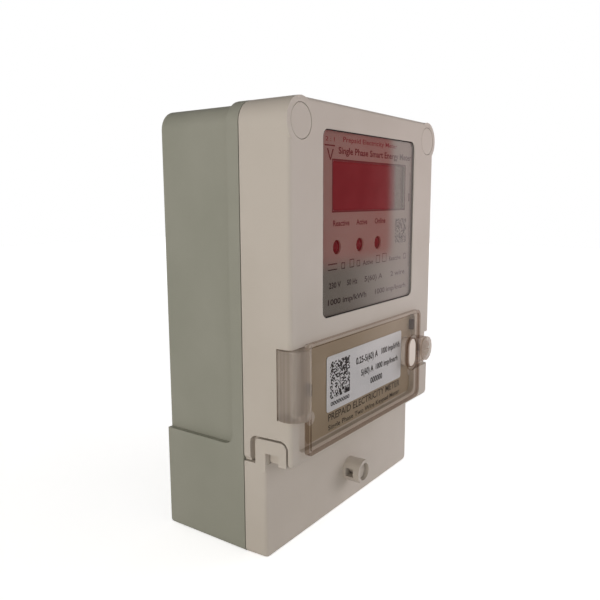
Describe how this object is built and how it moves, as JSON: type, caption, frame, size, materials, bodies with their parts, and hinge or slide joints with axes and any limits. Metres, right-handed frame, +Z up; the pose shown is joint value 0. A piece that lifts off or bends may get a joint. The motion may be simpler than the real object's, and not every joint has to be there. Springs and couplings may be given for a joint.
{
  "type": "prepaid electricity meter",
  "caption": "Wall-mounted single-phase prepaid meter: base, windowed front cover, tinted hinged flap over a button, hooked terminal cover.",
  "frame": {"origin": "centre of the bounding box's footprint, on the plane the meter stands on", "axes": "+Z up the meter, +X to the right seen from the front, -Y out of the face towards the reader"},
  "size_m": [0.112, 0.0636, 0.16],
  "materials": {
    "base_plastic": "fine texture, grey-green",
    "cover_plastic": "fine texture, warm off-white",
    "tinted_clear": "transparent, brown tint",
    "clear_window": "clear polycarbonate",
    "dial_print": "printed sheet, satin",
    "red_filter": "dark red, polished",
    "red_lamp": "diffuse red lens",
    "silver_label": "printed satin film",
    "button_plastic": "satin, light",
    "black_plastic": "satin, black",
    "terminal_plastic": "flame retardant, black",
    "circuit_board": "green solder resist",
    "rubber_seal": "matte",
    "zinc_steel": "zinc plated",
    "spring_steel": "drawn wire",
    "core_steel": "lacquered laminations",
    "brass_parts": "nickel-free, turned",
    "copper": "bare copper"
  },
  "bodies": {
    "housing": {"base_housing": "base_plastic", "cover_gasket": "rubber_seal", "front_cover": "cover_plastic", "window_lens": "clear_window", "dial_plate": "dial_print", "display_filter": "red_filter", "display_module": "black_plastic", "display_board": "circuit_board", "flap_hinge_pin": "zinc_steel", "button_spring": "spring_steel", "switch_body": "black_plastic", "rating_plate": "silver_label", "terminal_block": "terminal_plastic", "relay_body": "terminal_plastic", "relay_coil": "copper", "shunt_strip": "copper", "neutral_bar": "brass_parts", "current_transformer": "black_plastic", "main_board": "circuit_board", "power_transformer": "core_steel", "smoothing_capacitor": "black_plastic", "backup_battery": "silver_label", "radio_module": "zinc_steel", "antenna_rod": "copper", "indicator_lamp_1": "red_lamp", "signal_clamp_1": "brass_parts", "indicator_lamp_2": "red_lamp", "signal_clamp_2": "brass_parts", "indicator_lamp_3": "red_lamp", "signal_clamp_3": "brass_parts", "terminal_clamp_1": "brass_parts", "cover_screw_1": "zinc_steel", "terminal_clamp_2": "brass_parts", "cover_screw_2": "zinc_steel", "terminal_clamp_3": "brass_parts", "cover_screw_3": "zinc_steel", "terminal_clamp_4": "brass_parts", "cover_screw_4": "zinc_steel", "screw_plug_1": "cover_plastic", "screw_plug_2": "cover_plastic"},
    "flap": {"flap": "tinted_clear"},
    "flap_seal_screw": {"flap_seal_screw": "tinted_clear"},
    "terminal_cover": {"terminal_cover": "cover_plastic"},
    "terminal_cover_screw": {"terminal_cover_screw": "cover_plastic"},
    "program_button": {"program_button": "button_plastic"},
    "switch_plunger": {"switch_plunger": "button_plastic"},
    "hanging_hook": {"hanging_hook": "zinc_steel"},
    "relay_rocker": {"relay_rocker": "button_plastic"},
    "relay_contact_arm": {"relay_contact_arm": "copper"},
    "terminal_screw_1": {"terminal_screw_1": "zinc_steel"},
    "terminal_screw_2": {"terminal_screw_2": "zinc_steel"},
    "terminal_screw_3": {"terminal_screw_3": "zinc_steel"},
    "terminal_screw_4": {"terminal_screw_4": "zinc_steel"},
    "terminal_screw_5": {"terminal_screw_5": "zinc_steel"},
    "terminal_screw_6": {"terminal_screw_6": "zinc_steel"},
    "terminal_screw_7": {"terminal_screw_7": "zinc_steel"},
    "terminal_screw_8": {"terminal_screw_8": "zinc_steel"},
    "signal_screw_1": {"signal_screw_1": "zinc_steel"},
    "signal_screw_2": {"signal_screw_2": "zinc_steel"},
    "signal_screw_3": {"signal_screw_3": "zinc_steel"}
  },
  "joints": [
    {"name": "flap_hinge", "type": "hinge", "parent": "housing", "child": "flap", "pos_m": [-0.0501, -0.02585, 0.0655], "axis": [0, 0, -1], "range_deg": [0, 110]},
    {"name": "flap_seal_turn", "type": "hinge", "parent": "flap", "child": "flap_seal_screw", "pos_m": [0.0473, -0.02975, 0.0593], "axis": [0, 1, 0], "continuous": true},
    {"name": "terminal_cover_drop", "type": "slide", "parent": "housing", "child": "terminal_cover", "axis": [0, 0, -1], "range_m": [0, 0.009]},
    {"name": "terminal_cover_screw_turn", "type": "hinge", "parent": "terminal_cover", "child": "terminal_cover_screw", "pos_m": [0.001, -0.02275, 0.0148], "axis": [0, 1, 0], "continuous": true},
    {"name": "program_button_press", "type": "slide", "parent": "housing", "child": "program_button", "axis": [0, 1, 0], "range_m": [0, 0.0008], "stiffness_N_per_m": 500},
    {"name": "switch_plunger_press", "type": "slide", "parent": "housing", "child": "switch_plunger", "axis": [0, 1, 0], "range_m": [0, 0.0008]},
    {"name": "hanging_hook_slide", "type": "slide", "parent": "housing", "child": "hanging_hook", "axis": [0, 0, 1], "range_m": [0, 0.016]},
    {"name": "relay_rocker_pivot", "type": "hinge", "parent": "housing", "child": "relay_rocker", "pos_m": [-0.032, 0.01525, 0.066], "axis": [0, -1, 0], "range_deg": [0, 8]},
    {"name": "relay_contact_pivot", "type": "hinge", "parent": "housing", "child": "relay_contact_arm", "pos_m": [-0.0228, 0.01425, 0.06], "axis": [0, -1, 0], "range_deg": [0, 3]},
    {"name": "terminal_screw_1_turn", "type": "hinge", "parent": "housing", "child": "terminal_screw_1", "pos_m": [-0.0389, 0.00725, 0.012], "axis": [0, 1, 0], "continuous": true},
    {"name": "terminal_screw_2_turn", "type": "hinge", "parent": "housing", "child": "terminal_screw_2", "pos_m": [-0.0389, 0.00725, 0.022], "axis": [0, 1, 0], "continuous": true},
    {"name": "terminal_screw_3_turn", "type": "hinge", "parent": "housing", "child": "terminal_screw_3", "pos_m": [-0.0256, 0.00725, 0.012], "axis": [0, 1, 0], "continuous": true},
    {"name": "terminal_screw_4_turn", "type": "hinge", "parent": "housing", "child": "terminal_screw_4", "pos_m": [-0.0256, 0.00725, 0.022], "axis": [0, 1, 0], "continuous": true},
    {"name": "terminal_screw_5_turn", "type": "hinge", "parent": "housing", "child": "terminal_screw_5", "pos_m": [-0.0123, 0.00725, 0.012], "axis": [0, 1, 0], "continuous": true},
    {"name": "terminal_screw_6_turn", "type": "hinge", "parent": "housing", "child": "terminal_screw_6", "pos_m": [-0.0123, 0.00725, 0.022], "axis": [0, 1, 0], "continuous": true},
    {"name": "terminal_screw_7_turn", "type": "hinge", "parent": "housing", "child": "terminal_screw_7", "pos_m": [0.0143, 0.00725, 0.012], "axis": [0, 1, 0], "continuous": true},
    {"name": "terminal_screw_8_turn", "type": "hinge", "parent": "housing", "child": "terminal_screw_8", "pos_m": [0.0143, 0.00725, 0.022], "axis": [0, 1, 0], "continuous": true},
    {"name": "signal_screw_1_turn", "type": "hinge", "parent": "housing", "child": "signal_screw_1", "pos_m": [0.027, 0.00725, 0.013], "axis": [0, 1, 0], "continuous": true},
    {"name": "signal_screw_2_turn", "type": "hinge", "parent": "housing", "child": "signal_screw_2", "pos_m": [0.0335, 0.00725, 0.013], "axis": [0, 1, 0], "continuous": true},
    {"name": "signal_screw_3_turn", "type": "hinge", "parent": "housing", "child": "signal_screw_3", "pos_m": [0.04, 0.00725, 0.013], "axis": [0, 1, 0], "continuous": true}
  ],
  "couplings": [
    {"joint": "switch_plunger_press", "follows": "program_button_press", "ratio": 1},
    {"joint": "relay_contact_pivot", "follows": "relay_rocker_pivot", "ratio": 0.367}
  ]
}
